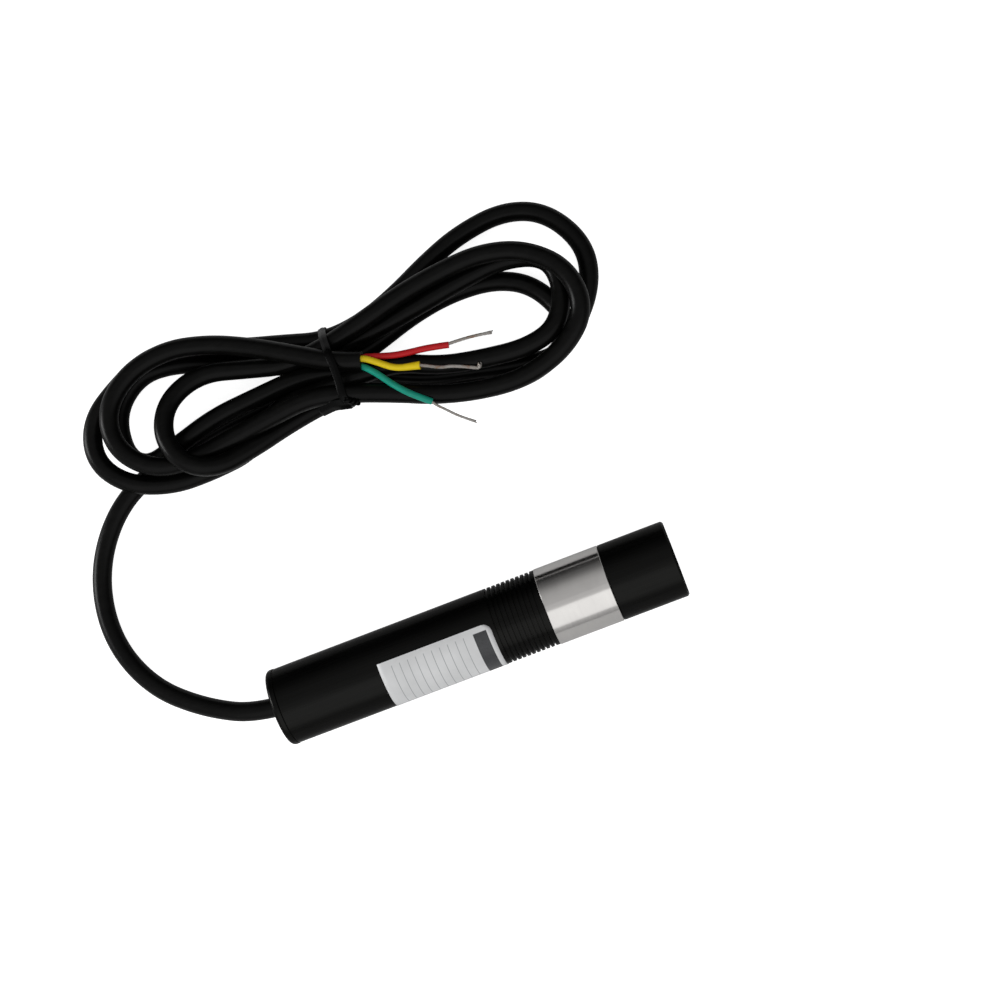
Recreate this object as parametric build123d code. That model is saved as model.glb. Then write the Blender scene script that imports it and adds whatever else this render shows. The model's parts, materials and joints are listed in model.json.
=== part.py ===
from build123d import *
import math
import os

os.makedirs("parts", exist_ok=True)

# ---------------------------------------------------------------------------
# Laser line module lying on its side.  Millimetres, X along the beam (front is
# +X), Z up, the module's axis at y = 0, z = AXIS_Z, the resting surface at z = 0.
# ---------------------------------------------------------------------------

# main body
AXIS_Z = 8.0             # height of the module's axis
R_RING = 8.0             # bright heat-sink section and rear cap flange
R_TUBE = 7.9             # black tube, a touch smaller than the ring
R_TUBE_BORE = 6.7
R_HEAD = 7.95            # front head
X_LIP = -43.2            # rear of the grommet's lip
X_REAR = -42.5           # rear face of the cap
X_TUBE0 = -41.0          # tube, rear end
X_TUBE1 = 15.6           # tube, front end, where the bright ring begins
X_RING1 = 29.22          # bright ring, front end
X_NOSE1 = 36.8           # end of the nose inside the head
X_HEAD0 = 29.27          # rear edge of the head
X_FRONT = 43.2           # front edge of the head

# grooves round the tube's front end
GROOVE_N = 10
GROOVE_X0 = 5.34
GROOVE_PITCH = 1.019
GROOVE_W = 0.52
GROOVE_D = 0.45

# sticker
LABEL_X0, LABEL_X1 = -19.57, 4.24
LABEL_T = 0.08
LABEL_START = -8.0       # degrees from the top, minus is towards +Y
LABEL_SPAN = 215.0

# cable
CABLE_D = 4.0
CORE_D = 1.35
INNER_CORE_D = 1.3
TIP_D = 0.7
X_JACKET = -34.0         # end of the jacket inside the tube

# driver board
BOARD_T = 0.8
BOARD_TOP = 7.755
BOARD_X0, BOARD_X1, BOARD_X2 = -26.0, 8.6, 12.6
BOARD_W, TONGUE_W = 11.0, 6.4

# diode
PIN_R = 0.225

AXIS = Axis((0, 0, AXIS_Z), (1, 0, 0))


def turned(points):
    """Solid of revolution about the module's axis from (x, radius) points."""
    pts = [(x, 0, AXIS_Z + r) for x, r in points]
    face = make_face(Polyline(*pts, close=True))
    return revolve(face, AXIS, 360)


def bar(x0, x1, r, y=0.0, z=AXIS_Z):
    """Round bar along X."""
    return Pos((x0 + x1) / 2, y, z) * Rot(0, 90, 0) * Cylinder(r, x1 - x0)


def block(x0, x1, y0, y1, z0, z1):
    return Pos((x0 + x1) / 2, (y0 + y1) / 2, (z0 + z1) / 2) * Box(x1 - x0, y1 - y0, z1 - z0)


def soft_block(x0, x1, y0, y1, z0, z1, r, axis=None):
    b = block(x0, x1, y0, y1, z0, z1)
    e = b.edges() if axis is None else b.edges().filter_by(axis)
    return fillet(e, r)


def radii_of(points):
    """Largest arc that each corner's two runs allow."""
    v = [Vector(*p) for p in points]
    out = []
    for a, b, c in zip(v, v[1:], v[2:]):
        turn = (b - a).get_angle(c - b)
        short = min((b - a).length, (c - b).length)
        out.append(0.45 * short / math.tan(math.radians(turn / 2)))
    return out


def wire_tube(name, points, d):
    """Round tube along straight runs joined by tangent arcs."""
    radii = radii_of(points)
    path = FilletPolyline(*[Vector(*p) for p in points], radius=radii)
    start = Vector(*points[0])
    way = (Vector(*points[1]) - start).normalized()
    solid = sweep(Plane(origin=start, z_dir=way) * Circle(d / 2), path=path)
    ideal = math.pi * d * d / 4 * path.length
    print(name, "length %.2f" % path.length, "radii", [round(r, 1) for r in radii],
          "volume / section x length %.4f" % (solid.volume / ideal))
    return solid


parts = {}

# ---------------------------------------------------------------- housing
prof = [(X_TUBE0, R_TUBE_BORE), (X_TUBE0, R_TUBE - 0.12), (X_TUBE0 + 0.12, R_TUBE)]
for i in range(GROOVE_N):
    c = GROOVE_X0 + i * GROOVE_PITCH
    prof += [(c - GROOVE_W / 2, R_TUBE), (c - GROOVE_W / 2 + 0.06, R_TUBE - GROOVE_D),
             (c + GROOVE_W / 2 - 0.06, R_TUBE - GROOVE_D), (c + GROOVE_W / 2, R_TUBE)]
prof += [(X_TUBE1 - 0.1, R_TUBE), (X_TUBE1, R_TUBE - 0.1), (X_TUBE1, R_TUBE_BORE)]
parts["housing_tube"] = turned(prof)

# rear cap: flange, spigot and a round hole for the grommet
X_SPIGOT = -37.2
R_HOLE = 2.5
cap = turned([(X_REAR, R_HOLE), (X_REAR, R_RING), (X_TUBE0 - 0.06, R_RING), (X_TUBE0, R_RING - 0.06),
              (X_TUBE0, R_TUBE_BORE - 0.01), (X_SPIGOT, R_TUBE_BORE - 0.01), (X_SPIGOT, R_HOLE)])
rim = [e for e in cap.edges().filter_by(GeomType.CIRCLE)
       if abs(e.arc_center.X - X_REAR) < 1e-3 and abs(e.radius - R_RING) < 1e-3]
parts["rear_cap"] = fillet(rim, 0.9)

# grommet: small lip outside, neck through the cap, bead inside
R_LIP = 2.95
R_BEAD = 3.1
R_MOUTH = 2.5            # the bore opens out like a bell where the cable bends away
grommet = turned([(X_LIP, R_MOUTH), (X_LIP, R_LIP - 0.3), (X_LIP + 0.3, R_LIP), (X_REAR, R_LIP),
                  (X_REAR, R_HOLE), (X_SPIGOT, R_HOLE), (X_SPIGOT, R_BEAD), (X_SPIGOT + 0.6, R_BEAD - 0.2),
                  (X_SPIGOT + 0.6, CABLE_D / 2), (X_LIP + 3.6, CABLE_D / 2), (X_LIP + 1.4, CABLE_D / 2 + 0.18)])
parts["cable_grommet"] = grommet

# tie on the jacket just inside, which keeps the cable from being pulled out
X_STOP0, X_STOP1 = X_SPIGOT + 0.6, X_SPIGOT + 2.8
stop = bar(X_STOP0, X_STOP1, 2.75) + block(X_STOP0, X_STOP1, -1.9, 1.9, AXIS_Z + 1.5, AXIS_Z + 4.6)
stop = stop + block(X_STOP0 + 0.3, X_STOP1 - 0.3, -0.6, 0.6, AXIS_Z + 4.6, AXIS_Z + 5.5)
parts["cable_stop_tie"] = stop - bar(X_STOP0 - 1, X_STOP1 + 1, CABLE_D / 2)

# ---------------------------------------------------------------- heat sink
R_SPIGOT = R_TUBE_BORE - 0.01
R_NOSE = 6.3
R_FRONT_BORE = 5.05
X_HS0 = 9.6
X_SEAT = 17.4            # rear face of the diode's flange
X_STEP = 18.6            # shoulder that the flange rests on
X_WEB = 21.4             # start of the front bore
R_CLAMP_BORE = 4.5
X_GR0, X_GR1, R_GR = 30.6, 31.7, 5.55
X_KEY = 33.4
hs = turned([(X_HS0, R_CLAMP_BORE), (X_HS0, R_SPIGOT - 0.2), (X_HS0 + 0.2, R_SPIGOT), (X_TUBE1, R_SPIGOT),
             (X_TUBE1, R_RING - 0.12), (X_TUBE1 + 0.12, R_RING), (X_RING1 - 0.12, R_RING),
             (X_RING1, R_RING - 0.12), (X_RING1, R_NOSE),
             (X_GR0, R_NOSE), (X_GR0, R_GR), (X_GR1, R_GR), (X_GR1, R_NOSE),
             (X_NOSE1 - 0.3, R_NOSE), (X_NOSE1, R_NOSE - 0.3), (X_NOSE1, R_FRONT_BORE),
             (X_WEB, R_FRONT_BORE), (X_WEB, 2.1), (X_STEP, 2.1), (X_STEP, 2.85), (X_SEAT, 2.85),
             (X_SEAT, R_CLAMP_BORE)])
KEY_R = 0.6
parts["heat_sink_body"] = hs - Pos(X_KEY, 0, AXIS_Z + 5.6) * Cylinder(KEY_R + 0.01, 3.0)

# friction ring in the nose's groove
O_R = 0.41
parts["nose_o_ring"] = Pos((X_GR0 + X_GR1) / 2, 0, AXIS_Z) * Rot(0, 90, 0) * Torus(R_GR + 0.01 + O_R, O_R)

# key pin through the nose's wall
parts["carriage_key_pin"] = Pos(X_KEY, 0, AXIS_Z + (4.45 + 6.2) / 2) * Cylinder(KEY_R, 6.2 - 4.45)

# ---------------------------------------------------------------- diode
PIN_Y, PIN_LOW = 1.0, 6.71
can = turned([(X_SEAT, 0), (X_SEAT, 2.8), (X_STEP, 2.8), (X_STEP, 1.85), (X_STEP + 2.15, 1.85),
              (X_STEP + 2.3, 1.7), (X_STEP + 2.3, 0)])
X_PIN0 = 10.55
pins = [bar(X_PIN0, X_SEAT + 0.2, PIN_R, y, z) for y, z in ((PIN_Y, AXIS_Z), (-PIN_Y, AXIS_Z), (0, PIN_LOW))]
for p in pins:
    can = can + p
parts["laser_diode"] = can

clamp = turned([(13.6, 2.2), (13.6, R_CLAMP_BORE - 0.22), (13.8, R_CLAMP_BORE - 0.02),
                (X_SEAT, R_CLAMP_BORE - 0.02), (X_SEAT, 2.2)])
parts["diode_clamp_ring"] = clamp - block(13.0, 14.5, -6, 6, AXIS_Z - 0.5, AXIS_Z + 0.5)

# ---------------------------------------------------------------- lens carriage
R_CAR = 5.0
X_CAR0, X_CAR1 = 22.6, 40.9
X_FL0, X_FL1, R_FL = 37.9, 39.3, 6.7
car = turned([(X_CAR0, 2.2), (X_CAR0, R_CAR - 0.3), (X_CAR0 + 0.3, R_CAR), (X_FL0, R_CAR), (X_FL0, R_FL),
              (X_FL1, R_FL), (X_FL1, R_CAR), (X_CAR1 - 0.2, R_CAR), (X_CAR1, R_CAR - 0.2), (X_CAR1, 4.0),
              (36.0, 4.0), (36.0, 3.6), (27.0, 3.6), (27.0, 3.27), (24.0, 3.27), (24.0, 2.2)])
parts["lens_carriage"] = car - block(31.3, 34.9, -0.65, 0.65, AXIS_Z + 4.3, AXIS_Z + 5.4)

# collimating lens: flat rear face, domed front
DOME_R, DOME_X = 3.9, 23.2
dome = [(DOME_X + math.sqrt(DOME_R ** 2 - (3.05 * (1 - i / 10)) ** 2), 3.05 * (1 - i / 10)) for i in range(11)]
parts["collimating_lens"] = turned([(24.0, 0), (24.0, 3.25), (25.6, 3.25), (25.6, 3.05)] + dome)

lclamp = turned([(25.6, 3.12), (25.6, 3.25), (27.0, 3.25), (27.0, 3.58), (28.4, 3.58), (28.4, 3.12)])
parts["lens_clamp_ring"] = lclamp - block(27.8, 29.0, -5, 5, AXIS_Z - 0.4, AXIS_Z + 0.4)

# line lens: round disc with a half-round rib on its rear face
disc = turned([(37.6, 0), (37.6, 3.98), (39.6, 3.98), (39.6, 0)])
rib = (Pos(37.6, 0, AXIS_Z) * Cylinder(1.5, 5.0)) & block(35.5, 37.6, -2, 2, AXIS_Z - 3, AXIS_Z + 3)
parts["line_lens"] = disc + rib

llc = turned([(39.6, 2.6), (39.6, 3.98), (40.7, 3.98), (40.9, 3.8), (40.9, 2.9)])
parts["line_lens_clamp_ring"] = llc - block(40.3, 41.5, -5, 5, AXIS_Z - 0.4, AXIS_Z + 0.4)

# ---------------------------------------------------------------- front head
R_HB0, R_HB1, X_SHOULDER = 6.4, 6.8, 37.85
parts["focus_head"] = turned([(X_HEAD0, R_HB0 + 0.15), (X_HEAD0, R_HEAD - 0.15), (X_HEAD0 + 0.15, R_HEAD),
                              (X_FRONT - 0.4, R_HEAD), (X_FRONT, R_HEAD - 0.4), (X_FRONT, R_HB1 + 0.35),
                              (X_FRONT - 0.35, R_HB1), (X_SHOULDER, R_HB1), (X_SHOULDER, R_HB0),
                              (X_HEAD0 + 0.15, R_HB0)])
ret = turned([(39.35, 5.1), (39.35, R_HB1 - 0.01), (41.3, R_HB1 - 0.01), (41.3, 5.35), (41.05, 5.1)])
parts["head_retaining_ring"] = ret - block(40.6, 42.0, -8, 8, AXIS_Z - 0.5, AXIS_Z + 0.5)

# ---------------------------------------------------------------- driver board and what is on it
parts["insulating_sleeve"] = turned([(-33.0, 6.3), (-33.0, 6.68), (X_HS0, 6.68), (X_HS0, 6.3)])

BOARD_BOT = BOARD_TOP - BOARD_T
board = block(BOARD_X0, BOARD_X1, -BOARD_W / 2, BOARD_W / 2, BOARD_BOT, BOARD_TOP)
board = fillet(board.edges().filter_by(Axis.Z), 0.8)
board = board + block(BOARD_X1 - 1.2, BOARD_X2, -TONGUE_W / 2, TONGUE_W / 2, BOARD_BOT, BOARD_TOP)
parts["driver_board"] = board

T = BOARD_TOP
B = BOARD_BOT
# can-type capacitor on its square base
base = soft_block(-20.15, -14.85, -2.65, 2.65, T, T + 0.7, 0.7, Axis.Z)
canc = Pos(-17.5, 0, T + 0.7 + 2.3) * Cylinder(2.5, 4.6)
canc = fillet(canc.edges().sort_by(Axis.Z)[-1], 0.35)
parts["filter_capacitor"] = base + canc

ind = soft_block(-13.6, -8.6, -2.5, 2.5, T, T + 2.8, 1.0, Axis.Z)
parts["power_inductor"] = ind + block(-14.0, -8.2, -1.0, 1.0, T, T + 0.3)

chip = block(-7.0, -2.1, -1.95, 1.95, T + 0.15, T + 1.6)
for i in range(4):
    x = -4.55 + (i - 1.5) * 1.27
    for s in (1, -1):
        y0, y1 = sorted((s * 1.9, s * 2.45))
        chip = chip + block(x - 0.2, x + 0.2, y0, y1, T + 0.5, T + 0.72)
        y0, y1 = sorted((s * 2.25, s * 2.45))
        chip = chip + block(x - 0.2, x + 0.2, y0, y1, T, T + 0.72)
        y0, y1 = sorted((s * 2.25, s * 3.0))
        chip = chip + block(x - 0.2, x + 0.2, y0, y1, T, T + 0.2)
parts["driver_chip"] = chip

parts["sense_resistor"] = block(-0.6, 2.6, -3.15, 3.15, T, T + 0.6)

tr = block(4.4, 6.9, -2.25, 2.25, T + 0.1, T + 1.5)
for y in (-1.5, 0.0, 1.5):
    tr = tr + block(6.9, 7.9, y - 0.22, y + 0.22, T, T + 0.4) + block(6.6, 6.95, y - 0.22, y + 0.22, T + 0.1, T + 0.4)
tr = tr + block(3.6, 4.4, -0.9, 0.9, T, T + 0.4) + block(4.2, 4.7, -0.9, 0.9, T + 0.1, T + 0.4)
parts["power_transistor"] = tr

parts["chip_resistors"] = Compound(children=[block(x - 0.8, x + 0.8, y - 0.4, y + 0.4, T, T + 0.45)
                                             for x, y in ((-11.5, 4.2), (-8.5, 4.2), (-5.0, 4.4), (-1.5, 4.4), (-8.5, -4.2))])
parts["ceramic_capacitors"] = Compound(children=[block(x - 1.0, x + 1.0, y - 0.62, y + 0.62, B - 1.2, B)
                                                 for x, y in ((-14.0, 1.5), (-10.0, 1.5), (-6.0, -1.5), (-2.0, -1.5))])
dio = block(-22.2, -17.8, -1.3, 1.3, B - 2.2, B - 0.05)
dio = dio + block(-22.8, -21.9, -0.75, 0.75, B - 0.35, B) + block(-18.1, -17.2, -0.75, 0.75, B - 0.35, B)
parts["protection_diode"] = dio

# cores from the jacket's end to pads at the board's rear edge
zi = T + INNER_CORE_D / 2 + 0.02
X_PAD = -24.6
inner = {
    "inner_core_red": [(X_JACKET, 0.72, 7.58), (-31.4, 0.72, 7.58), (-28.2, 3.1, zi), (X_PAD, 3.1, zi)],
    "inner_core_yellow": [(X_JACKET, 0.0, 8.83), (-31.4, 0.0, 8.83), (-28.2, 0.0, zi), (X_PAD, 0.0, zi)],
    "inner_core_green": [(X_JACKET, -0.72, 7.58), (-31.4, -0.72, 7.58), (-28.2, -3.1, zi), (X_PAD, -3.1, zi)],
}
for n, pts in inner.items():
    parts[n] = wire_tube(n, pts, INNER_CORE_D)

joints = []
for y in (3.1, 0.0, -3.1):
    s = block(X_PAD, X_PAD + 1.7, y - 0.8, y + 0.8, T, T + 1.25)
    top = s.faces().sort_by(Axis.Z)[-1].edges().sort_by(Axis.X)[1:]
    joints.append(fillet(top, 0.45))
for y in (PIN_Y, -PIN_Y):
    s = block(X_PIN0 + 0.2, BOARD_X2 - 0.3, y - 0.55, y + 0.55, T, T + 0.85)
    s = fillet(s.faces().sort_by(Axis.Z)[-1].edges(), 0.3)
    joints.append(s - bar(X_PIN0 - 1, X_SEAT, PIN_R, y, AXIS_Z))
s = block(X_PIN0 + 0.2, BOARD_X2 - 0.3, -0.55, 0.55, B - 0.85, B)
s = fillet(s.faces().sort_by(Axis.Z)[0].edges(), 0.3)
joints.append(s - bar(X_PIN0 - 1, X_SEAT, PIN_R, 0, PIN_LOW))
parts["solder_joints"] = Compound(children=joints)

# ---------------------------------------------------------------- sticker
rect = make_face(Polyline((LABEL_X0, 0, AXIS_Z + R_TUBE), (LABEL_X1, 0, AXIS_Z + R_TUBE),
                          (LABEL_X1, 0, AXIS_Z + R_TUBE + LABEL_T), (LABEL_X0, 0, AXIS_Z + R_TUBE + LABEL_T), close=True))
sticker = revolve(rect.rotate(AXIS, LABEL_START), AXIS, LABEL_SPAN)
parts["label"] = sticker

# ---------------------------------------------------------------- cable
LEAD = [(X_JACKET, 0, AXIS_Z), (-46.0, 0, AXIS_Z), (-57.6, 5.5, 5.4), (-67.2, 13.8, 3.3),
        (-71.9, 26.0, 2.2), (-69.8, 39.6, 2.0), (-61.7, 50.7, 2.0), (-50.6, 55.9, 2.0)]
parts["cable_lead"] = wire_tube("cable_lead", LEAD, CABLE_D)

# hank: outline and the larger openings between the turns, seen from above
HANK_H = 11.2
OUTLINE = [(-7.9, 69.7), (-12.6, 70.4), (-22.5, 73.6), (-30.3, 76.7), (-36.5, 78.4), (-43.0, 79.0), (-47.9, 78.0),
           (-52.1, 75.8), (-56.2, 73.8), (-59.6, 70.7), (-61.9, 67.1), (-62.8, 63.2), (-62.4, 60.2), (-61.2, 57.3),
           (-59.3, 54.5), (-55.4, 51.7), (-50.3, 50.1), (-45.1, 49.2), (-40.1, 49.2), (-36.0, 49.4), (-31.3, 50.0),
           (-26.5, 50.9), (-21.6, 52.1), (-16.8, 53.0), (-13.9, 53.3), (-8.4, 53.0), (1.9, 49.9), (8.5, 47.4),
           (18.8, 44.4), (26.1, 43.9), (30.1, 44.2), (35.3, 45.3), (39.1, 46.6), (42.1, 48.9), (44.1, 51.9),
           (46.4, 54.9), (48.8, 59.0), (50.0, 64.5), (49.0, 69.8), (46.3, 74.2), (43.1, 77.2), (39.4, 79.1),
           (35.3, 79.9), (30.9, 79.9), (26.2, 79.1), (21.2, 77.5), (15.9, 75.4), (10.6, 73.0), (5.5, 71.1),
           (0.6, 69.9), (-2.9, 69.5)]
HOLES = [
    [(-20.3, 63.9), (-25.3, 66.1), (-31.4, 68.0), (-35.8, 68.1), (-39.5, 67.1), (-42.6, 65.0), (-44.0, 62.4),
     (-44.0, 60.6), (-40.6, 61.1), (-35.8, 62.1), (-28.8, 62.7)],
    [(-37.8, 71.8), (-45.3, 72.7), (-49.2, 71.3), (-51.5, 68.9), (-53.0, 65.5), (-53.2, 62.4), (-52.3, 59.9),
     (-50.7, 58.4), (-47.8, 59.2), (-47.4, 62.8), (-46.5, 65.2), (-44.4, 67.9), (-42.0, 69.6)],
    [(1.0, 61.5), (6.8, 62.8), (11.7, 64.2), (17.6, 65.0), (24.2, 65.0), (29.6, 63.8), (33.2, 61.7), (35.9, 58.4),
     (36.9, 55.4), (35.9, 53.8), (33.6, 53.4), (28.6, 53.6), (23.3, 53.9), (18.0, 54.6), (13.0, 55.7), (7.8, 57.3)],
    [(21.9, 74.1), (27.2, 76.0), (32.3, 76.6), (38.1, 75.7), (42.5, 72.8), (44.8, 69.2), (45.9, 65.2), (46.1, 61.7),
     (43.8, 64.8), (40.6, 68.0), (36.4, 71.2), (31.6, 72.9), (26.4, 73.9)],
]


def slab(points, z0, z1):
    face = make_face(Polyline(*[(x, y, z0) for x, y in points], close=True))
    return extrude(face, amount=z1 - z0, dir=(0, 0, 1))


hank = slab(OUTLINE, 0, HANK_H)
for h in HOLES:
    hank = hank - slab(h, -1, HANK_H + 1)
WAIST_TOP = 13.9
X_END = -1.8             # where the jacket ends on top of the hank
hank = hank + block(-15.5, X_END, 54.2, 68.6, 0, WAIST_TOP)

# tie: flat band round the waist, its knot and two short tails
TIE_X0, TIE_X1, TIE_T = -9.3, -6.9, 0.7
TY0, TY1 = 53.4, 69.3
ring_out = soft_block(TIE_X0, TIE_X1, TY0 - TIE_T, TY1 + TIE_T, 0, WAIST_TOP + 0.2, 2.4, Axis.X)
ring_in = soft_block(TIE_X0 - 1, TIE_X1 + 1, TY0, TY1, TIE_T, WAIST_TOP + 0.2 - TIE_T, 1.7, Axis.X)
band = ring_out - ring_in
keep = block(TIE_X0 - 0.02, TIE_X1 + 0.02, 40, 90, -1, 20) & ring_in
cut = block(TIE_X0 - 0.02, TIE_X1 + 0.02, 40, 90, -1, 20) - keep
parts["cable_hank"] = hank - cut
knot = soft_block(-7.6, -5.0, 51.6, 53.3, HANK_H + 0.2, WAIST_TOP - 0.4, 0.6, Axis.X)
tail = block(-13.5, -8.6, 52.1, 52.8, 10.4, 12.9)
parts["cable_tie"] = band + knot + tail

# stripped cores from the jacket's end, and their bare twisted ends
zc = HANK_H + CORE_D / 2 + 0.15
cores = {
    "red": ([(X_END, 60.3, zc), (1.4, 59.6, zc), (6.2, 58.0, zc + 0.1), (11.0, 57.6, zc + 0.1), (15.5, 56.4, zc + 0.2)],
            [(15.5, 56.4, zc + 0.2), (17.8, 56.6, zc + 0.2), (21.2, 56.3, zc + 0.3), (25.1, 55.4, zc + 0.4)]),
    "yellow": ([(X_END, 59.5, zc + 1.15), (0.2, 58.9, zc + 1.0), (3.6, 56.2, zc + 0.3), (6.2, 55.1, zc), (9.0, 54.6, zc)],
               [(9.0, 54.6, zc), (11.6, 53.2, zc), (15.6, 51.8, zc), (19.8, 49.9, zc)]),
    "green": ([(X_END, 58.6, zc), (-0.4, 57.2, zc), (1.9, 53.8, zc), (4.4, 50.7, zc), (8.6, 47.0, zc)],
              [(8.6, 47.0, zc), (10.3, 44.9, zc), (12.6, 42.6, zc), (15.6, 39.8, zc)]),
}
for c, (pts, tip) in cores.items():
    parts["core_" + c] = wire_tube("core_" + c, pts, CORE_D) - parts["cable_hank"]
    parts["bare_tip_" + c] = wire_tube("bare_tip_" + c, tip, TIP_D) - parts["core_" + c]

for name, shape in parts.items():
    export_step(shape, "parts/%s.step" % name)
    print(name, round(shape.volume, 2))
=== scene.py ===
import json
import math

import bpy
from mathutils import Matrix, Vector


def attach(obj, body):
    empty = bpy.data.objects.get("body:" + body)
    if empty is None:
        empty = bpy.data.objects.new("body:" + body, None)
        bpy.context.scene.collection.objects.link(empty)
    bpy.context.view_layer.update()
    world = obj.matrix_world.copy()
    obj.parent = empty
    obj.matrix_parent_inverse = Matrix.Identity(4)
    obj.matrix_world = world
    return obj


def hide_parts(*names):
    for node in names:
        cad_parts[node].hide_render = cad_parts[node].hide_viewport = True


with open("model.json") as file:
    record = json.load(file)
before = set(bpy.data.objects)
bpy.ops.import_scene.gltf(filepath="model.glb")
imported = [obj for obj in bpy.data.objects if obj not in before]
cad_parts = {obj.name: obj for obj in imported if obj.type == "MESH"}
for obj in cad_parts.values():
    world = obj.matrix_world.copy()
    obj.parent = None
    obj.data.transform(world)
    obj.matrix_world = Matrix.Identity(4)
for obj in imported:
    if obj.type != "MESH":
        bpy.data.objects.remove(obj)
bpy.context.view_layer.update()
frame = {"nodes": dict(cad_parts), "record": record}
nodes = frame["nodes"]
scene = bpy.context.scene
scene.view_settings.view_transform = "Standard"
MM = 0.001

# ---------------------------------------------------------------- camera
EYE = Vector((45.8855, -8.0016, 428.7016)) * MM
AIM = Vector((14.0341, 23.7608, 4.0)) * MM
ROLL = -0.366168
cam = bpy.data.objects.new("camera", bpy.data.cameras.new("camera"))
scene.collection.objects.link(cam)
cam.data.sensor_fit = "HORIZONTAL"
cam.data.sensor_width = 36.0
cam.data.lens = 75.607
cam.data.clip_start, cam.data.clip_end = 0.01, 20.0
back = (EYE - AIM).normalized()
right = Vector((math.cos(ROLL), math.sin(ROLL), 0))
right = (right - back * right.dot(back)).normalized()
up = back.cross(right)
cam.matrix_world = Matrix(((right.x, up.x, back.x, EYE.x), (right.y, up.y, back.y, EYE.y),
                           (right.z, up.z, back.z, EYE.z), (0, 0, 0, 1)))
scene.camera = cam


# ---------------------------------------------------------------- curves and sweeps
def nurbs(name, points, radius=0.0, steps=12, around=8, caps=True):
    """Open quadratic NURBS curve through the frame's millimetre points, linked to the scene."""
    cu = bpy.data.curves.new(name, "CURVE")
    cu.dimensions = "3D"
    cu.resolution_u = steps
    cu.bevel_depth = 1.0 if radius > 0 else 0.0
    cu.bevel_resolution = around
    cu.use_fill_caps = caps and radius > 0
    sp = cu.splines.new("NURBS")
    sp.points.add(len(points) - 1)
    for p, co in zip(sp.points, points):
        p.co = (co[0] * MM, co[1] * MM, co[2] * MM, 1)
        p.radius = max(radius, 0.01) * MM
    sp.order_u = 3
    sp.use_endpoint_u = True
    ob = bpy.data.objects.new(name, cu)
    scene.collection.objects.link(ob)
    return ob


def follow(points, steps):
    """Points along the NURBS line of some control points."""
    ob = nurbs("line", points, 0, steps)
    me = bpy.data.meshes.new_from_object(ob)
    out = [v.co.copy() for v in me.vertices]
    cu = ob.data
    bpy.data.objects.remove(ob)
    bpy.data.curves.remove(cu)
    bpy.data.meshes.remove(me)
    return out


def frames(line, start=Vector((0, 0, 1))):
    """A side and an up vector at each point of a line, carried along without twist."""
    out = []
    u = start
    for i, p in enumerate(line):
        t = (line[min(i + 1, len(line) - 1)] - line[max(i - 1, 0)]).normalized()
        u = (u - t * u.dot(t)).normalized()
        out.append((t.cross(u), u))
    return out


def mesh_object(name, verts, faces, smooth=True):
    me = bpy.data.meshes.new(name)
    me.from_pydata([tuple(v) for v in verts], [], faces)
    me.validate()
    me.polygons.foreach_set("use_smooth", [smooth] * len(me.polygons))
    me.update()
    ob = bpy.data.objects.new(name, me)
    scene.collection.objects.link(ob)
    return ob


def loft(verts, faces, rings, cap=True):
    """Adds closed rings of vertices, joined one to the next, with end faces."""
    base, n = len(verts), len(rings[0])
    for ring in rings:
        verts.extend(ring)
    for i in range(len(rings) - 1):
        for j in range(n):
            a, b = base + i * n + j, base + i * n + (j + 1) % n
            faces.append((a, b, b + n, a + n))
    if cap:
        faces.append(tuple(base + j for j in reversed(range(n))))
        faces.append(tuple(base + (len(rings) - 1) * n + j for j in range(n)))


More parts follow.
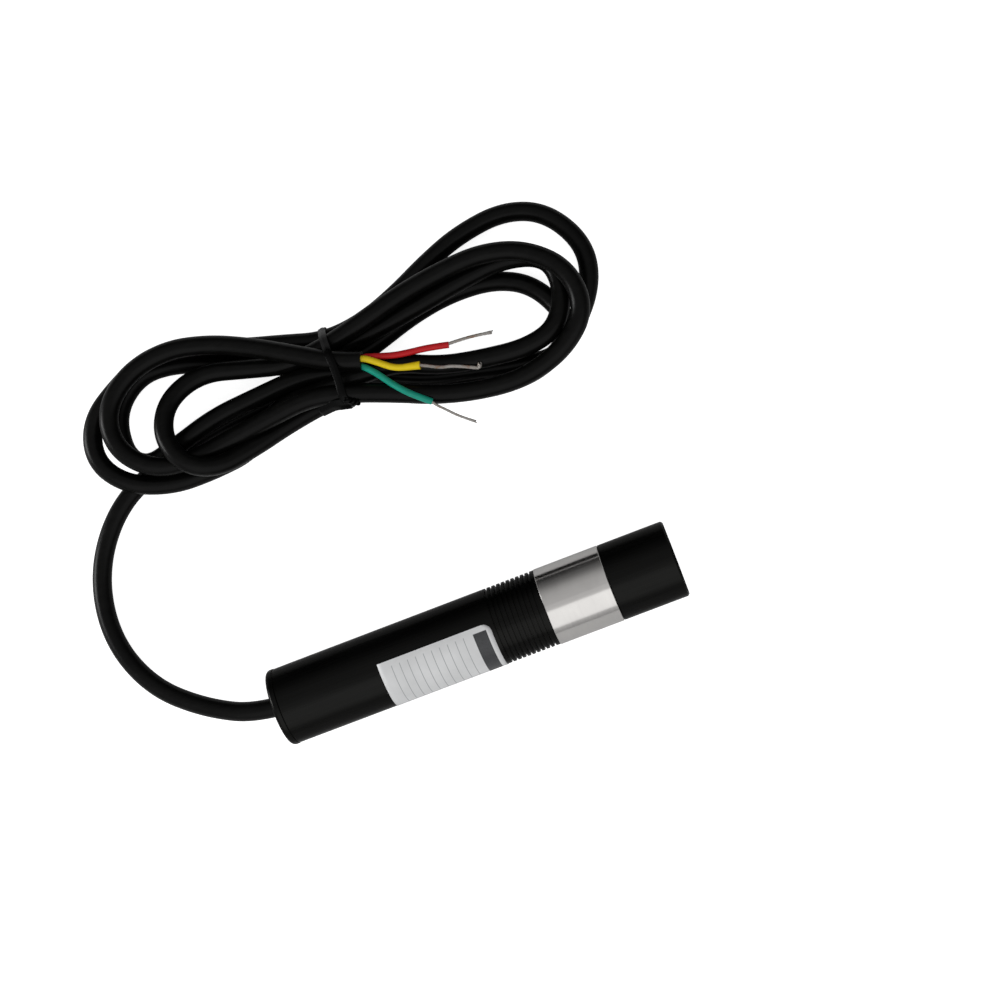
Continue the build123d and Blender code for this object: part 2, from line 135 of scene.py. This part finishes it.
# ---------------------------------------------------------------- cable
LEAD = [
    (-34, 0, 8), (-46, 0, 8), (-57.6, 5.5, 5.4), (-67.2, 13.8, 3.3), (-71.9, 26, 2.2), (-69.8, 39.6, 2),
    (-61.7, 50.7, 2), (-50.6, 55.9, 2),
]
TURNS = [
    (-41.7, 57.5, 2), (-33.5, 59.1, 2), (-24.5, 59.7, 2.1), (-15.8, 60.6, 2.5), (-6.7, 60.9, 2.8), (1.8, 63.4, 2),
    (10.6, 66.1, 2), (19.5, 67.4, 2), (28.6, 66.7, 2.1), (35.6, 62.9, 3.1), (39.7, 55.1, 4.7), (39.2, 49.6, 6),
    (34.5, 46.4, 6), (25.9, 48.3, 5.2), (17.8, 50.5, 4.2), (9.3, 52.3, 4), (0.7, 56.2, 4.8), (-6.9, 60.2, 6.2),
    (-16.1, 61.7, 6.9), (-25.6, 61.1, 6.7), (-34.9, 60.5, 6.3), (-44.7, 57.7, 6.1), (-51.4, 56.2, 5.4), (-55.4, 60.3, 4.2),
    (-54.5, 69.5, 2.7), (-47.6, 75.2, 2), (-39.4, 74.8, 2), (-30.7, 71.1, 2), (-22.4, 67.4, 2.3), (-14, 64.3, 3.4),
    (-5, 64.6, 4.8), (4.1, 65.5, 5.7), (13.3, 66.9, 5.9), (22.6, 68.4, 5.7), (32.3, 69.4, 5.4), (40.3, 66.7, 5.9),
    (41.7, 60, 7.5), (37.9, 52, 9.2), (30.6, 50, 9.4), (20.9, 51.3, 9.2), (12.7, 53.1, 9.2), (4.6, 56.9, 9.4),
    (-3.1, 57.2, 9.3), (-12.2, 57.2, 7.6), (-22.3, 58.3, 4.8), (-29.8, 51.8, 3), (-39.5, 50.8, 3.2), (-48.3, 50.8, 4.7),
    (-57, 54.3, 6), (-61.5, 61.2, 6.2), (-59.2, 69.2, 6.1), (-51.3, 74.2, 5.9), (-43, 77.6, 5.2), (-33.9, 76.1, 4),
    (-25.5, 72.6, 3.5), (-16.9, 70.2, 2.8), (-8.5, 67.5, 2.8), (0.3, 68.3, 2.4), (8.8, 71.3, 2), (17.2, 75.2, 2),
    (25.3, 78.1, 2), (35.4, 79.3, 2), (43.6, 75.9, 2), (48.6, 67.1, 2), (47.2, 58.8, 2), (40.8, 51.2, 2),
    (32.6, 46.3, 2), (24.1, 45.5, 2), (14.8, 47.2, 2), (6.5, 49.8, 2), (-2.9, 54.7, 2.3), (-11.2, 55.6, 3.2),
    (-20.7, 53.9, 5.1), (-28.7, 51.6, 7.8), (-37.2, 49.9, 10.7), (-43.3, 53.3, 12.3), (-45.3, 60.4, 11.3), (-42.1, 67, 9.2),
    (-34.1, 70, 7.2), (-25, 67.4, 6.4), (-16.6, 64.95, 6.8), (-7.4, 65.5, 8.1), (1.1, 67.5, 8.6), (10, 69.8, 8.3),
    (18.9, 71.2, 8.2), (28.3, 71.6, 8.8), (37, 68.8, 9.8), (43.6, 62.1, 10.7), (44.1, 53.1, 10.5), (37.7, 47.3, 9.9),
    (28.7, 44.7, 9.1), (19.9, 45.3, 8.8), (10.9, 47.5, 9.2), (2.6, 51, 10.4), (-5.7, 54.2, 11.4), (-14.3, 56.5, 11.2),
    (-23.4, 55.7, 10), (-32.2, 54.8, 8.6), (-41.7, 53.6, 8), (-49.9, 54.7, 9.1), (-55.6, 61.1, 9.6), (-55, 69.2, 9.6),
    (-48.4, 75, 9.3), (-39.2, 76.8, 8.9), (-30.3, 74.7, 8.9), (-22.1, 70.7, 9.7), (-14.3, 65.9, 10.9), (-6.9, 61.3, 11.7),
    (-1.5, 59.4, 12.1),
]
cable = nurbs("cable", LEAD + TURNS, 2.0, 14, 10)

# ---------------------------------------------------------------- stripped cores and their bare ends
CORES = {
    "red": [(-4.1, 60.7, 11.4), (-1.7, 60.1, 11.3), (-0.5, 59.95, 11.3), (1.4, 59.3, 11.35), (4.85, 58.15, 11.4),
            (8.15, 57.6, 11.2), (11.9, 57.15, 11.0), (15.95, 56.2, 10.8)],
    "yellow": [(-4.0, 60.6, 12.6), (-1.35, 59.75, 12.7), (-0.5, 59.3, 12.7), (0.15, 58.85, 12.6), (1.75, 57.6, 12.2),
               (3.55, 56.1, 11.95), (5.35, 55.25, 11.75), (7.15, 54.8, 11.8), (9.15, 54.3, 11.9)],
    "green": [(-4.6, 59.5, 11.9), (-2.2, 58.65, 11.8), (-0.95, 57.5, 11.9), (0.55, 55.75, 11.75), (2.4, 53.0, 12.05),
              (4.55, 50.4, 13.0), (6.55, 48.5, 12.45), (8.75, 46.65, 11.4)],
}
TIPS = {
    "red": [(14.45, 56.6, 10.85), (15.45, 56.4, 10.8), (16.75, 56.4, 10.75), (20.15, 56.2, 10.6), (22.95, 55.8, 10.5),
            (25.2, 55.4, 10.4)],
    "yellow": [(8.2, 54.55, 11.85), (9.15, 54.3, 11.9), (10.25, 53.8, 11.65), (12.95, 52.35, 11.4), (14.75, 52.0, 11.45),
               (17.0, 51.05, 11.3), (18.8, 50.2, 10.95), (19.85, 49.65, 10.8), (20.5, 49.95, 11.0), (20.5, 50.6, 11.45)],
    "green": [(8.05, 47.25, 11.75), (8.75, 46.65, 11.4), (9.3, 45.75, 11.1), (10.85, 44.15, 10.8), (12.5, 42.35, 10.5),
              (14.15, 40.95, 10.2), (15.75, 39.65, 10.0)],
}
CORE_R = 0.675
core_obs, tip_obs = {}, {}
for c, pts in CORES.items():
    ob = nurbs("core_" + c + "_insulation", pts, CORE_R, 14, 6)
    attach(ob, "barrel")
    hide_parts("core_" + c)
    core_obs[c] = ob
# the yellow one is spread a little where it was stripped
for p, r in zip(core_obs["yellow"].data.splines[0].points[-2:], (0.74, 0.86)):
    p.radius = r * MM


def strands(name, pts, count, wire, spread, pitch, seed):
    """Fine wires laid round one another along a line, a little loose towards the end."""
    line = follow(pts, 14)
    fr = frames(line)
    verts, faces = [], []
    run = [0.0]
    for a, b in zip(line, line[1:]):
        run.append(run[-1] + (b - a).length)
    total = run[-1]
    for k in range(count):
        ring_r = 0.0 if k == 0 else spread
        phase = 2 * math.pi * k / max(count - 1, 1) + seed
        stop = total * (1 - 0.05 * ((k * 37 + int(seed * 10)) % 7) / 7)
        rings = []
        path = []
        for (p, (s, u), d) in zip(line, fr, run):
            if d > stop:
                break
            loose = 1 + 0.45 * max(0.0, d / total - 0.8) / 0.2 * (0.4 + 0.6 * ((k * 13) % 5) / 5)
            a = phase + 2 * math.pi * d / (pitch * MM)
            path.append(p + (s * math.cos(a) + u * math.sin(a)) * ring_r * loose * MM)
        for q, (s, u) in zip(path, frames(path)):
            rings.append([q + (s * math.cos(b) + u * math.sin(b)) * wire * MM
                          for b in [2 * math.pi * j / 7 for j in range(7)]])
        loft(verts, faces, rings)
    return mesh_object(name, verts, faces)


for c, (count, wire, spread, pitch, seed) in {"red": (7, 0.125, 0.21, 5.2, 0.3), "yellow": (7, 0.14, 0.24, 4.2, 1.1),
                                              "green": (7, 0.105, 0.17, 5.8, 2.0)}.items():
    ob = strands("bare_wires_" + c, TIPS[c], count, wire, spread, pitch, seed)
    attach(ob, "barrel")
    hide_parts("bare_tip_" + c)
    tip_obs[c] = ob

# ---------------------------------------------------------------- wire tie round the waist of the hank
# each row: the ribbon's middle, then the way its face looks
LOOP = [
    ((-6.7, 52.4, 12.9), (0.3, -0.7, 0.7)), ((-7.4, 52.15, 11.6), (0, -1, 0.2)), ((-7.9, 52.2, 9.6), (0, -1, 0)),
    ((-8.1, 52.35, 7.4), (0, -1, 0)), ((-8.1, 52.45, 5.2), (0, -1, 0)), ((-8.0, 52.6, 3.0), (0, -1, -0.2)),
    ((-8.0, 53.0, 1.2), (0, -0.75, -0.65)), ((-8.0, 55.0, 0.5), (0, -0.1, -1)), ((-8.0, 57.6, 0.5), (0, 0, -1)),
    ((-8.0, 60.4, 0.46), (0, 0, -1)), ((-8.0, 63.0, 0.46), (0, 0, -1)), ((-8.0, 65.6, 0.48), (0, 0, -1)),
    ((-8.0, 68.6, 0.5), (0, 0.3, -1)), ((-8.0, 70.15, 1.5), (0, 1, -0.4)), ((-7.95, 70.1, 3.7), (0, 1, 0.2)),
    ((-7.9, 69.1, 5.9), (0, 0.93, 0.37)), ((-7.75, 68.2, 8.0), (0, 0.93, 0.37)), ((-7.6, 67.1, 10.0), (0, 0.85, 0.52)),
    ((-7.45, 65.5, 11.5), (0, 0.7, 0.7)), ((-7.3, 63.8, 13.2), (0, 0.6, 0.8)), ((-7.15, 61.8, 14.0), (0, 0.1, 1)),
    ((-7.1, 59.3, 13.8), (0, 0, 1)), ((-7.15, 57.0, 13.75), (0, 0, 1)), ((-7.4, 54.8, 13.75), (0, -0.2, 1)),
    ((-7.5, 53.2, 13.4), (0, -0.6, 0.8)), ((-7.0, 52.3, 12.7), (0.2, -0.8, 0.5)),
]
TAIL = [
    ((-6.6, 52.2, 12.9), (0, -0.6, 0.8)), ((-7.9, 52.4, 12.7), (0, -0.6, 0.8)), ((-9.6, 52.9, 12.3), (-0.1, -0.6, 0.8)),
    ((-11.4, 53.1, 11.1), (-0.3, -0.6, 0.7)), ((-13.4, 53.1, 9.7), (-0.3, -0.6, 0.7)),
]
TWIST = [(-7.5, 53.1, 13.35), (-6.8, 52.6, 13.1), (-6.0, 52.15, 12.75), (-5.3, 51.85, 12.35), (-5.0, 51.8, 12.1)]
SECTION = [(-0.76, -0.09), (-0.4, -0.12), (0, -0.13), (0.4, -0.12), (0.76, -0.09), (0.84, 0), (0.76, 0.09), (0.42, 0.12),
           (0.24, 0.22), (0, 0.27), (-0.24, 0.22), (-0.42, 0.12), (-0.76, 0.09), (-0.84, 0)]
verts, faces = [], []
for rows, wide in ((LOOP, 1.0), (TAIL, 1.55)):
    mid = follow([p for p, n in rows], 8)
    top = follow([tuple(a + b for a, b in zip(p, n)) for p, n in rows], 8)
    rings = []
    for i, (p, q) in enumerate(zip(mid, top)):
        t = (mid[min(i + 1, len(mid) - 1)] - mid[max(i - 1, 0)]).normalized()
        n = q - p
        n = (n - t * n.dot(t)).normalized()
        w = t.cross(n)
        rings.append([p + (w * a * wide + n * b) * MM for a, b in SECTION])
    loft(verts, faces, rings)
# the two ends wound round one another
mid = follow(TWIST, 12)
for k in range(2):
    rings = []
    for i, (p, (sd, u)) in enumerate(zip(mid, frames(mid))):
        a = math.pi * k + 3.2 * math.pi * i / (len(mid) - 1)
        c, d = sd * math.cos(a) + u * math.sin(a), u * math.cos(a) - sd * math.sin(a)
        rings.append([p + (c * (0.34 + 0.36 * math.cos(b)) + d * 0.52 * math.sin(b)) * MM
                      for b in [2 * math.pi * j / 12 for j in range(12)]])
    loft(verts, faces, rings)
tie = mesh_object("twist_tie", verts, faces)
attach(tie, "barrel")
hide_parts("cable_tie")

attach(cable, "barrel")
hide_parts("cable_lead", "cable_hank")

# ---------------------------------------------------------------- sticker on the tube
AXIS_Z = 8.0
LX0, LX1, L_IN, L_OUT = -19.57, 4.24, 7.903, 7.98
L_FROM, L_SPAN, L_CORNER = -8.0, 215.0, 1.7
verts, faces = [], []
rows, cols = 150, 28
edge = [0, 0.02, 0.06, 0.12, 0.2, 0.3, 0.42, 0.56, 0.72, 0.86, 1.0, 1.2, 1.45, 1.7]
arc = math.radians(L_SPAN) * L_OUT
arcs = edge + [1.7 + (arc - 3.4) * i / rows for i in range(1, rows)] + [arc - e for e in reversed(edge)]


def sticker_point(s, f, r):
    d = min(s, arc - s)
    x1 = LX1
    if d < L_CORNER:
        x1 = LX1 - L_CORNER + math.sqrt(max(0.0, L_CORNER ** 2 - (L_CORNER - d) ** 2))
    a = math.radians(L_FROM) + s / L_OUT
    x = LX0 + (x1 - LX0) * f
    return Vector((x, -r * math.sin(a), AXIS_Z + r * math.cos(a))) * MM


nr, nc = len(arcs), cols + 1
for r in (L_OUT, L_IN):
    for s in arcs:
        for j in range(nc):
            verts.append(sticker_point(s, j / cols, r))
for i in range(nr - 1):
    for j in range(cols):
        a = i * nc + j
        faces.append((a, a + nc, a + nc + 1, a + 1))
        b = nr * nc + a
        faces.append((b, b + 1, b + nc + 1, b + nc))
rim = [j for j in range(nc)] + [i * nc + cols for i in range(1, nr)] + \
      [(nr - 1) * nc + j for j in reversed(range(cols))] + [i * nc for i in reversed(range(1, nr - 1))]
for a, b in zip(rim, rim[1:] + rim[:1]):
    faces.append((a, b, b + nr * nc, a + nr * nc))
sticker = mesh_object("sticker", verts, faces)
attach(sticker, "barrel")
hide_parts("label")


# ---------------------------------------------------------------- materials
class Mat:
    """A principled material whose varying inputs are made of noise and ramps."""

    def __init__(self, name, **consts):
        self.mat = bpy.data.materials.new(name)
        self.mat.use_nodes = True
        self.nt = self.mat.node_tree
        self.bsdf = self.nt.nodes["Principled BSDF"]
        for k, v in consts.items():
            self.bsdf.inputs[k.replace("_", " ")].default_value = v
        self.coord = self.nt.nodes.new("ShaderNodeTexCoord")

    def node(self, kind, **props):
        n = self.nt.nodes.new(kind)
        for k, v in props.items():
            setattr(n, k, v)
        return n

    def link(self, a, b):
        self.nt.links.new(a, b)

    def noise(self, scale, detail=3.0, rough=0.5, offset=(0, 0, 0)):
        """Noise in object space; scale is one number or three, in cycles per metre."""
        m = self.node("ShaderNodeMapping")
        m.inputs["Scale"].default_value = (scale,) * 3 if isinstance(scale, (int, float)) else scale
        m.inputs["Location"].default_value = offset
        t = self.node("ShaderNodeTexNoise")
        t.inputs["Scale"].default_value = 1.0
        t.inputs["Detail"].default_value = detail
        t.inputs["Roughness"].default_value = rough
        self.link(self.coord.outputs["Object"], m.inputs["Vector"])
        self.link(m.outputs["Vector"], t.inputs["Vector"])
        return t.outputs["Fac"]

    def ramp(self, src, stops):
        r = self.node("ShaderNodeValToRGB")
        e = r.color_ramp.elements
        while len(e) < len(stops):
            e.new(0.5)
        for el, (pos, col) in zip(e, stops):
            el.position = pos
            el.color = (*col, 1) if len(col) == 3 else col
        self.link(src, r.inputs["Fac"])
        return r.outputs["Color"]

    def span(self, src, lo, hi, a=0.25, b=0.75):
        r = self.node("ShaderNodeMapRange")
        r.inputs["From Min"].default_value, r.inputs["From Max"].default_value = a, b
        r.inputs["To Min"].default_value, r.inputs["To Max"].default_value = lo, hi
        self.link(src, r.inputs["Value"])
        return r.outputs["Result"]

    def math(self, op, a, b=None):
        n = self.node("ShaderNodeMath", operation=op)
        for i, v in enumerate((a, b)):
            if v is None:
                continue
            if isinstance(v, (int, float)):
                n.inputs[i].default_value = v
            else:
                self.link(v, n.inputs[i])
        return n.outputs[0]

    def bump(self, height, strength, distance, after=None):
        n = self.node("ShaderNodeBump")
        n.inputs["Strength"].default_value = strength
        n.inputs["Distance"].default_value = distance
        self.link(height, n.inputs["Height"])
        if after is not None:
            self.link(after, n.inputs["Normal"])
        return n.outputs["Normal"]

    def color(self, out):
        self.link(out, self.bsdf.inputs["Base Color"])

    def rough(self, out):
        self.link(out, self.bsdf.inputs["Roughness"])

    def normal(self, out):
        self.link(out, self.bsdf.inputs["Normal"])


def two(lo, hi):
    return [(0.3, lo), (0.7, hi)]


def black_anodised():
    # dyed oxide on metal: a faint metallic reflection that grows little towards the rim
    m = Mat("black_anodised", Metallic=1.0, Specular_Tint=(0.6, 0.6, 0.6, 1))
    streak = m.noise((70, 2600, 2600), 3)
    grain = m.noise(5200, 2)
    cloud = m.noise(160, 3)
    m.color(m.ramp(streak, two((0.0103, 0.0103, 0.0099), (0.0118, 0.0118, 0.0113))))
    m.rough(m.span(m.math("ADD", m.math("MULTIPLY", streak, 0.6), m.math("MULTIPLY", cloud, 0.4)), 0.23, 0.33))
    m.normal(m.bump(grain, 0.10, 0.00006, m.bump(streak, 0.10, 0.00008)))
    return m.mat


def bright_metal():
    m = Mat("bright_metal", Metallic=1.0)
    turn = m.noise((7000, 60, 60), 3)
    cloud = m.noise((300, 260, 260), 3)
    face = m.ramp(m.math("ADD", m.math("MULTIPLY", turn, 0.55), m.math("MULTIPLY", cloud, 0.45)),
                  [(0.3, (0.505, 0.492, 0.48)), (0.7, (0.575, 0.561, 0.545))])
    m.color(face)
    m.rough(m.span(turn, 0.12, 0.20))
    m.normal(m.bump(turn, 0.08, 0.00003))
    return m.mat


def metal(name, lo, hi, rough, scale=1800):
    m = Mat(name, Metallic=1.0)
    n = m.noise((scale, scale * 0.2, scale * 0.2), 3)
    m.color(m.ramp(n, two(lo, hi)))
    m.rough(m.span(n, rough - 0.05, rough + 0.06))
    m.normal(m.bump(n, 0.08, 0.00005))
    return m.mat


def plastic(name, lo, hi, rough, grain=2500, spec=0.4, depth=0.00005, strength=0.15, cloud=220):
    m = Mat(name, Specular_IOR_Level=spec)
    g = m.noise(grain, 3)
    c = m.noise(cloud, 3)
    m.color(m.ramp(c, two(lo, hi)))
    m.rough(m.span(g, rough - 0.06, rough + 0.06))
    m.normal(m.bump(g, strength, depth))
    return m.mat


def cable_jacket():
    m = Mat("cable_jacket", Specular_IOR_Level=0.09)
    grain = m.noise(3200, 3)
    scuff = m.noise((420, 900, 900), 4, 0.6)
    cloud = m.noise(110, 2)
    m.color(m.ramp(scuff, [(0.35, (0.0012, 0.0012, 0.0011)), (0.7, (0.0028, 0.0028, 0.0026))]))
    m.rough(m.span(m.math("ADD", m.math("MULTIPLY", scuff, 0.5), m.math("MULTIPLY", cloud, 0.5)), 0.26, 0.38))
    m.normal(m.bump(scuff, 0.10, 0.0001, m.bump(grain, 0.12, 0.00006)))
    return m.mat


def lens_glass():
    m = Mat("lens_glass", Transmission_Weight=1.0, IOR=1.52)
    n = m.noise(260, 2)
    m.color(m.ramp(n, two((0.86, 0.93, 0.97), (0.93, 0.97, 1.0))))
    m.rough(m.span(n, 0.0, 0.03))
    return m.mat


def film():
    m = Mat("film", Transmission_Weight=0.35, IOR=1.6)
    n = m.noise(500, 3)
    m.color(m.ramp(n, two((0.30, 0.16, 0.03), (0.42, 0.24, 0.06))))
    m.rough(m.span(n, 0.2, 0.32))
    return m.mat


def tinned_copper():
    m = Mat("tinned_copper", Metallic=1.0)
    n = m.noise(700, 3)
    f = m.noise(5200, 2)
    m.color(m.ramp(n, [(0.30, (0.30, 0.17, 0.11)), (0.42, (0.34, 0.31, 0.28)), (0.75, (0.44, 0.425, 0.41))]))
    m.rough(m.span(f, 0.25, 0.42))
    m.normal(m.bump(f, 0.15, 0.00003))
    return m.mat


def label():
    m = Mat("label", Specular_IOR_Level=0.35)
    sep = m.node("ShaderNodeSeparateXYZ")
    m.link(m.coord.outputs["Object"], sep.inputs["Vector"])
    x, y, z = sep.outputs
    turn = m.math("ARCTAN2", m.math("MULTIPLY", y, -1.0), m.math("SUBTRACT", z, AXIS_Z * MM))
    wrap = m.math("ADD", turn, m.math("MULTIPLY", m.math("LESS_THAN", turn, -0.5), 2 * math.pi))
    side = m.math("MULTIPLY", m.math("GREATER_THAN", wrap, math.radians(L_FROM) + 0.15),
                  m.math("LESS_THAN", wrap, math.radians(L_FROM + L_SPAN) - 0.15))
    head = m.math("MULTIPLY", m.math("MULTIPLY", m.math("GREATER_THAN", x, (LX1 - 3.8) * MM),
                                     m.math("LESS_THAN", x, (LX1 - 1.0) * MM)), side)
    pitch = m.math("FRACT", m.math("DIVIDE", m.math("ADD", x, (-LX0 - 0.9) * MM), 1.7 * MM))
    rule = m.math("MULTIPLY", m.math("MULTIPLY", m.math("LESS_THAN", pitch, 0.09), side),
                  m.math("MULTIPLY", m.math("GREATER_THAN", x, (LX0 + 1.6) * MM), m.math("LESS_THAN", x, (LX1 - 4.6) * MM)))
    c = m.noise(180, 3)
    g = m.noise(4200, 2)
    white = m.ramp(c, two((0.60, 0.605, 0.61), (0.68, 0.685, 0.69)))
    mix = m.node("ShaderNodeMix", data_type="RGBA")
    m.link(rule, mix.inputs["Factor"])
    m.link(white, mix.inputs["A"])
    mix.inputs["B"].default_value = (0.36, 0.37, 0.38, 1)
    mix2 = m.node("ShaderNodeMix", data_type="RGBA")
    m.link(head, mix2.inputs["Factor"])
    m.link(mix.outputs["Result"], mix2.inputs["A"])
    m.link(m.ramp(g, two((0.030, 0.031, 0.034), (0.045, 0.046, 0.05))), mix2.inputs["B"])
    m.color(mix2.outputs["Result"])
    m.rough(m.span(c, 0.34, 0.46))
    m.normal(m.bump(g, 0.10, 0.00004))
    return m.mat


made = {
    "black_anodised": black_anodised(),
    "bright_metal": bright_metal(),
    "steel": metal("steel", (0.42, 0.42, 0.43), (0.56, 0.56, 0.57), 0.25),
    "brass": metal("brass", (0.55, 0.40, 0.16), (0.70, 0.52, 0.24), 0.28, 3000),
    "gold_can": metal("gold_can", (0.66, 0.50, 0.22), (0.80, 0.62, 0.32), 0.22, 900),
    "rubber": plastic("rubber", (0.0006, 0.0006, 0.0006), (0.0020, 0.0020, 0.0020), 0.40, 2200, 0.17),
    "tie_nylon": plastic("tie_nylon", (0.0004, 0.0004, 0.0004), (0.0014, 0.0014, 0.0014), 0.26, 3600, 0.08),
    "lens_glass": lens_glass(),
    "film": film(),
    "board": plastic("board", (0.006, 0.055, 0.022), (0.012, 0.085, 0.034), 0.38, 1500, 0.4, cloud=600),
    "chip_plastic": plastic("chip_plastic", (0.009, 0.009, 0.01), (0.018, 0.018, 0.019), 0.5, 4200, 0.35),
    "ferrite": plastic("ferrite", (0.03, 0.03, 0.033), (0.055, 0.055, 0.058), 0.6, 3600, 0.3),
    "can_aluminium": metal("can_aluminium", (0.55, 0.55, 0.56), (0.66, 0.66, 0.67), 0.28),
    "ceramic_tan": plastic("ceramic_tan", (0.34, 0.23, 0.13), (0.44, 0.31, 0.18), 0.5, 3000, 0.4),
    "solder": metal("solder", (0.48, 0.48, 0.49), (0.62, 0.62, 0.63), 0.22, 900),
    "core_red": plastic("core_red", (0.40, 0.008, 0.012), (0.50, 0.012, 0.016), 0.36, 2600, 0.16, cloud=320),
    "core_yellow": plastic("core_yellow", (0.68, 0.50, 0.006), (0.80, 0.60, 0.010), 0.36, 2600, 0.20, cloud=320),
    "core_green": plastic("core_green", (0.006, 0.235, 0.165), (0.009, 0.30, 0.21), 0.36, 2600, 0.20, cloud=320),
    "tinned_copper": tinned_copper(),
    "label": label(),
    "cable_jacket": cable_jacket(),
}
slot_of = {p["node"]: p["material_slot"] for p in frame["record"]["subparts"]}


def paint(ob, mat):
    ob.data.materials.clear()
    ob.data.materials.append(mat)


for n, ob in nodes.items():
    paint(ob, made[slot_of[n]])
paint(cable, made["cable_jacket"])
paint(tie, made["tie_nylon"])
paint(sticker, made["label"])
for c in CORES:
    paint(core_obs[c], made["core_" + c])
    paint(tip_obs[c], made["tinned_copper"])

# ---------------------------------------------------------------- floor and light
bpy.ops.mesh.primitive_grid_add(x_subdivisions=4, y_subdivisions=4, size=6.0, location=(0, 0, -0.00005))
floor = bpy.context.object
floor.name = "floor"
f = Mat("floor", Specular_IOR_Level=0.1, Emission_Color=(1, 1, 1, 1))
glow = f.node("ShaderNodeLightPath")
f.link(f.math("MULTIPLY", glow.outputs["Is Camera Ray"], 0.85), f.bsdf.inputs["Emission Strength"])
f.color(f.ramp(f.noise(9, 2), two((0.77, 0.77, 0.77), (0.79, 0.79, 0.79))))
f.rough(f.span(f.noise(40, 2), 0.6, 0.75))
paint(floor, f.mat)


def panel(name, at, to, sx, sy, watts):
    li = bpy.data.lights.new(name, "AREA")
    li.shape = "RECTANGLE"
    li.size, li.size_y, li.energy = sx, sy, watts
    ob = bpy.data.objects.new(name, li)
    scene.collection.objects.link(ob)
    z = (Vector(at) - Vector(to)).normalized()
    x = (Vector((1, 0, 0)) - z * z.x).normalized()
    y = z.cross(x)
    ob.matrix_world = Matrix(((x.x, y.x, z.x, at[0]), (x.y, y.y, z.y, at[1]), (x.z, y.z, z.z, at[2]), (0, 0, 0, 1)))
    ob.visible_camera = False
    return ob


D = 0.9
tilt = math.radians(43)
panel("key_panel", (0, -D * math.sin(tilt), 0.008 + D * math.cos(tilt)), (0, 0, 0.008),
      1.8, 2 * D * math.tan(math.radians(28)), 3.35)
low = math.radians(11)
side = (-0.934 * math.cos(low), 0.358 * math.cos(low), math.sin(low))
panel("side_panel", tuple(D * v for v in side), (0, 0, 0), 0.24, 0.55, 5.5)

world = bpy.data.worlds.new("studio")
scene.world = world
world.use_nodes = True
wt = world.node_tree
bg = wt.nodes["Background"]
co = wt.nodes.new("ShaderNodeTexCoord")
sep = wt.nodes.new("ShaderNodeSeparateXYZ")
wt.links.new(co.outputs["Generated"], sep.inputs["Vector"])


def wmath(op, a, b):
    n = wt.nodes.new("ShaderNodeMath")
    n.operation = op
    for i, v in enumerate((a, b)):
        if isinstance(v, (int, float)):
            n.inputs[i].default_value = v
        else:
            wt.links.new(v, n.inputs[i])
    return n.outputs[0]


# the room: a dark side behind, a pale ceiling, a bright side where the key panel stands
lean = wmath("ARCTAN2", wmath("MULTIPLY", sep.outputs["Y"], -1.0), sep.outputs["Z"])
fac = wmath("ADD", wmath("DIVIDE", lean, 2 * math.pi), 0.5)
ramp = wt.nodes.new("ShaderNodeValToRGB")
stops = [(-90, 0.04), (-84, 0.03), (-77, 0.07), (-69, 0.13), (-61, 0.18), (-54, 0.26), (-41, 0.46), (-29, 0.58), (-6, 0.66), (6, 0.76),
         (20, 0.84), (67, 0.78), (82, 0.52), (90, 0.38)]
els = ramp.color_ramp.elements
while len(els) < len(stops):
    els.new(0.5)
for el, (deg, g) in zip(els, stops):
    el.position = 0.5 + deg / 360
    el.color = (g, g, g, 1)
wt.links.new(fac, ramp.inputs["Fac"])
ends = wmath("SUBTRACT", wmath("SUBTRACT", 1.0, wmath("MULTIPLY", wmath("MULTIPLY", sep.outputs["X"], sep.outputs["X"]), 0.35)),
             wmath("MULTIPLY", wmath("MAXIMUM", sep.outputs["X"], 0.0), 0.45))
wt.links.new(ends, bg.inputs["Strength"])
pale = wt.nodes.new("ShaderNodeBackground")
pale.inputs["Color"].default_value = (1, 1, 1, 1)
path = wt.nodes.new("ShaderNodeLightPath")
mixw = wt.nodes.new("ShaderNodeMixShader")
wt.links.new(ramp.outputs["Color"], bg.inputs["Color"])
wt.links.new(path.outputs["Is Camera Ray"], mixw.inputs["Fac"])
wt.links.new(bg.outputs["Background"], mixw.inputs[1])
wt.links.new(pale.outputs["Background"], mixw.inputs[2])
wt.links.new(mixw.outputs["Shader"], wt.nodes["World Output"].inputs["Surface"])
